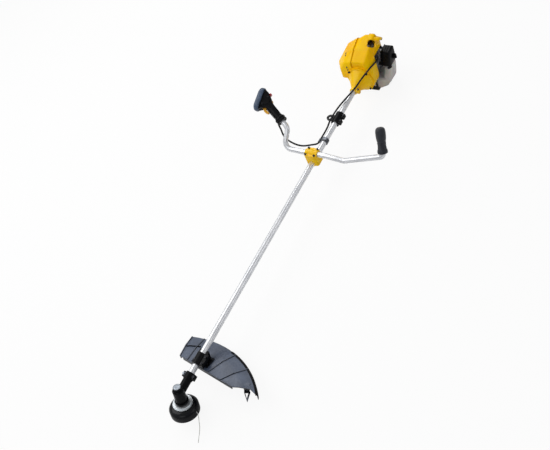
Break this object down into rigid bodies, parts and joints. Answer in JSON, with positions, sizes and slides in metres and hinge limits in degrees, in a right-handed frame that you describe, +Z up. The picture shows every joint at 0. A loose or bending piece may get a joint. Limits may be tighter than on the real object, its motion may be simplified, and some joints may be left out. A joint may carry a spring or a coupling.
{
  "type": "string trimmer",
  "caption": "Petrol string trimmer with a rear engine, straight shaft, handlebars with a throttle grip, curved guard and tilted line head.",
  "frame": {"origin": "on the underside of the tank stand, midway along it and under the shaft's axis", "axes": "+X forward along the shaft to the cutting head, +Y to the operator's left, +Z up"},
  "size_m": [1.8415, 0.6332, 0.3321],
  "materials": {
    "tube": "satin",
    "bushing": "matte",
    "shaft_steel": "brushed",
    "bearing": "polished",
    "clutch": "brushed",
    "yellow_paint": "gloss",
    "yellow_plastic": "gloss",
    "cast": "cast",
    "plug": "gloss",
    "rubber": "matte",
    "muffler": "matte",
    "black_plastic": "satin",
    "bulb": "gloss",
    "foam": "matte",
    "tank": "translucent",
    "hose": "satin",
    "stand": "satin",
    "rope": "woven",
    "clip": "satin",
    "switch": "gloss",
    "cable": "satin",
    "screws": "black oxide",
    "guard": "satin",
    "gear_case": "satin",
    "disc": "polished",
    "head": "gloss",
    "spool": "matte",
    "line": "satin"
  },
  "bodies": {
    "frame": {"main_tube": "tube", "shaft_bushings": "bushing", "clutch_housing": "yellow_paint", "fan_housing": "yellow_plastic", "engine_cover": "yellow_plastic", "crankcase": "cast", "engine_cylinder": "cast", "spark_plug": "plug", "plug_boot": "rubber", "muffler": "muffler", "bearings": "bearing", "carburettor": "cast", "primer_bulb": "bulb", "filter_base": "black_plastic", "filter_element": "foam", "filter_cover": "black_plastic", "fuel_tank": "tank", "fuel_hoses": "hose", "tank_stand": "stand", "starter_housing": "black_plastic", "hanger_clamp": "black_plastic", "cable_clip": "clip", "clamp_base": "yellow_paint", "clamp_saddle": "yellow_paint", "clamp_cap": "yellow_paint", "left_bar": "tube", "right_bar": "tube", "left_grip": "rubber", "handle_upper": "black_plastic", "handle_lower": "black_plastic", "throttle_cable": "cable", "socket_screws": "screws", "guard": "guard", "guard_bracket": "black_plastic", "line_cutter": "shaft_steel", "gear_case": "gear_case"},
    "crank": {"crankshaft": "shaft_steel", "flywheel": "cast", "clutch_shoes": "clutch"},
    "drive": {"drive_shaft": "shaft_steel", "clutch_drum": "clutch", "pinion": "shaft_steel"},
    "output": {"output_shaft": "shaft_steel", "bevel_gear": "shaft_steel", "holder_discs": "disc", "line_head": "head", "head_cover": "head", "line_spool": "spool", "cutting_line": "line"},
    "knob": {"bump_knob": "head"},
    "pull": {"starter_handle": "black_plastic", "starter_rope": "rope"},
    "pulley": {"starter_pulley": "bushing"},
    "trigger_body": {"trigger": "yellow_plastic"},
    "lockout_body": {"lockout_lever": "yellow_plastic"},
    "switch_body": {"stop_switch": "switch"},
    "arm_body": {"throttle_arm": "shaft_steel"},
    "choke_body": {"choke_lever": "black_plastic"},
    "cap_body": {"fuel_cap": "black_plastic"},
    "filter_screw_body": {"filter_knob": "black_plastic"}
  },
  "joints": [
    {"name": "output_spin", "type": "hinge", "parent": "frame", "child": "output", "pos_m": [1.666, 0, 0.124], "axis": [-0.3256, 0, 0.9455], "continuous": true},
    {"name": "drive_spin", "type": "hinge", "parent": "frame", "child": "drive", "pos_m": [0.194, 0, 0.124], "axis": [1, 0, 0], "continuous": true},
    {"name": "crank_spin", "type": "hinge", "parent": "frame", "child": "crank", "pos_m": [0.024, 0, 0.124], "axis": [1, 0, 0], "continuous": true},
    {"name": "bump_slide", "type": "slide", "parent": "output", "child": "knob", "axis": [-0.3256, 0, 0.9455], "range_m": [0, 0.006], "stiffness_N_per_m": 800, "springref_m": -0.01},
    {"name": "starter_pull", "type": "slide", "parent": "frame", "child": "pull", "axis": [0, 0, 1], "range_m": [0, 0.7], "stiffness_N_per_m": 6, "springref_m": -0.6, "deforming": ["starter_rope"]},
    {"name": "pulley_spin", "type": "hinge", "parent": "frame", "child": "pulley", "pos_m": [-0.049, 0, 0.124], "axis": [1, 0, 0], "range_deg": [0, 1300]},
    {"name": "trigger_squeeze", "type": "hinge", "parent": "frame", "child": "trigger_body", "pos_m": [0.47268, -0.23928, 0.28154], "axis": [0.3031, 0.3201, 0.8976], "range_deg": [0, 16], "stiffness_Nm_per_rad": 0.3, "springref_deg": -17.19},
    {"name": "throttle_turn", "type": "hinge", "parent": "frame", "child": "arm_body", "pos_m": [0.004, 0.053, 0.198], "axis": [0, 0, 1], "range_deg": [0, 45]},
    {"name": "lockout_press", "type": "hinge", "parent": "frame", "child": "lockout_body", "pos_m": [0.46644, -0.21466, 0.27487], "axis": [0.3031, 0.3201, 0.8976], "range_deg": [0, 10], "stiffness_Nm_per_rad": 0.3, "springref_deg": -17.19},
    {"name": "stop_slide", "type": "slide", "parent": "frame", "child": "switch_body", "axis": [-0.4164, -0.8028, 0.4268], "range_m": [0, 0.009]},
    {"name": "choke_turn", "type": "hinge", "parent": "frame", "child": "choke_body", "pos_m": [0.034, 0.072, 0.154], "axis": [0, -1, 0], "range_deg": [0, 45]},
    {"name": "cap_turn", "type": "hinge", "parent": "frame", "child": "cap_body", "pos_m": [-0.048, 0.048, 0.033], "axis": [-1, 0, 0], "range_deg": [0, 180]},
    {"name": "filter_screw_turn", "type": "hinge", "parent": "frame", "child": "filter_screw_body", "pos_m": [-0.012, 0.112, 0.158], "axis": [0, 1, 0], "range_deg": [0, 360]}
  ],
  "couplings": [
    {"joint": "drive_spin", "follows": "output_spin", "ratio": 1.4286},
    {"joint": "pulley_spin", "follows": "starter_pull", "rad_per_m": 31.25},
    {"joint": "throttle_turn", "follows": "trigger_squeeze", "ratio": 2.5}
  ]
}
